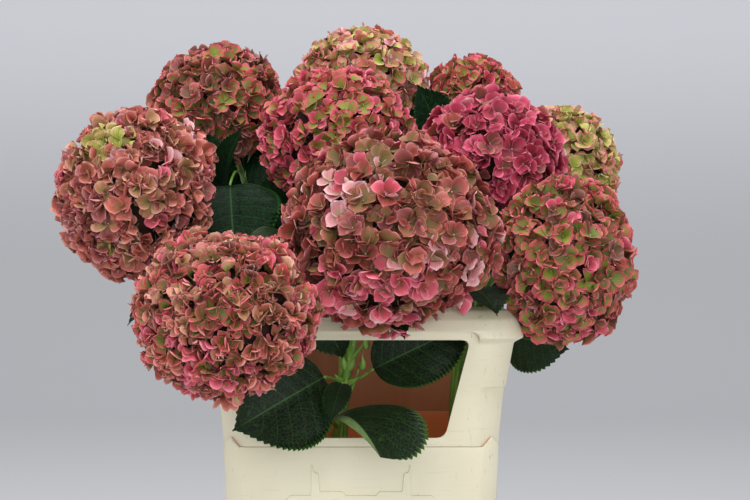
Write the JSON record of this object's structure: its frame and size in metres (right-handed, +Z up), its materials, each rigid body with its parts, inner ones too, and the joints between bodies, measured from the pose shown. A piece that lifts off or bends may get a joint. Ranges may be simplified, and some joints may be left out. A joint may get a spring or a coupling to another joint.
{
  "type": "bucket of cut hydrangeas",
  "caption": "Cut mophead hydrangeas with dark toothed leaves, standing in a tall rectangular plastic flower bucket under a flared collar with a front window.",
  "frame": {"origin": "middle of the bucket's flat underside", "axes": "+Z up out of the bucket, -Y towards the side with the collar's window, +X to the right seen from that side"},
  "size_m": [0.6621, 0.7432, 0.8181],
  "materials": {
    "cream_plastic": "moulded cream plastic, satin, with fine scuffs",
    "stem_green": "fresh green stem, satin, with short pale marks",
    "leaf_green": "dark green, slightly glossy, with pale veins",
    "petals_left": "matt petals, dusty salmon pink with an olive heart",
    "petals_back_left": "matt petals, olive brown with red-pink rims",
    "petals_top": "matt petals, salmon pink with lime hearts",
    "petals_middle": "matt petals, coral red rims on lime hearts",
    "petals_back_right": "matt petals, red rims on lime hearts",
    "petals_middle_right": "matt petals, deep raspberry pink",
    "petals_right_back": "matt petals, yellow-green with pink-red rims",
    "petals_right": "matt petals, coral red rims on olive-green hearts",
    "petals_front": "matt petals, dusty rose with brown-olive hearts",
    "petals_front_left": "matt petals, salmon pink with olive-beige hearts",
    "petals_rear_left": "matt petals, dusty salmon pink",
    "petals_rear_right": "matt petals, olive-green with coral rims"
  },
  "bodies": {
    "root": {"bucket": "cream_plastic", "collar": "cream_plastic", "head_left": "petals_left", "head_back_left": "petals_back_left", "head_top": "petals_top", "head_middle": "petals_middle", "head_back_right": "petals_back_right", "head_middle_right": "petals_middle_right", "head_right_back": "petals_right_back", "head_right": "petals_right", "head_front": "petals_front", "head_front_left": "petals_front_left", "head_rear_left": "petals_rear_left", "head_rear_right": "petals_rear_right", "stem_left": "stem_green", "stem_back_left": "stem_green", "stem_top": "stem_green", "stem_middle": "stem_green", "stem_back_right": "stem_green", "stem_middle_right": "stem_green", "stem_right_back": "stem_green", "stem_right": "stem_green", "stem_front": "stem_green", "stem_front_left": "stem_green", "stem_rear_left": "stem_green", "stem_rear_right": "stem_green", "leaf_sill_left": "leaf_green", "leaf_window": "leaf_green", "leaf_sill_middle": "leaf_green", "leaf_sill_small": "leaf_green", "leaf_window_top": "leaf_green", "leaf_under_front": "leaf_green", "leaf_rim_right": "leaf_green", "leaf_side_right": "leaf_green", "leaf_gap_left": "leaf_green", "leaf_gap_upright": "leaf_green", "leaf_behind_left": "leaf_green", "leaf_behind_gap": "leaf_green", "leaf_deep_right": "leaf_green", "leaf_deep_right_low": "leaf_green", "leaf_gap_behind": "leaf_green", "leaf_top_gap": "leaf_green", "leaf_right_gap": "leaf_green", "leaf_front_gap": "leaf_green", "leaf_low_left": "leaf_green", "leaf_side_left": "leaf_green", "leaf_left_rear": "leaf_green", "leaf_left_high": "leaf_green", "leaf_rear_side_left": "leaf_green", "leaf_rear_low_left": "leaf_green", "leaf_rear_high_left": "leaf_green", "leaf_rear_gap": "leaf_green", "leaf_rear_middle": "leaf_green", "leaf_rear_low_right": "leaf_green", "leaf_rear_side_right": "leaf_green", "leaf_right_rear": "leaf_green", "leaf_right_low": "leaf_green", "leaf_right_high": "leaf_green"}
  },
  "joints": []
}
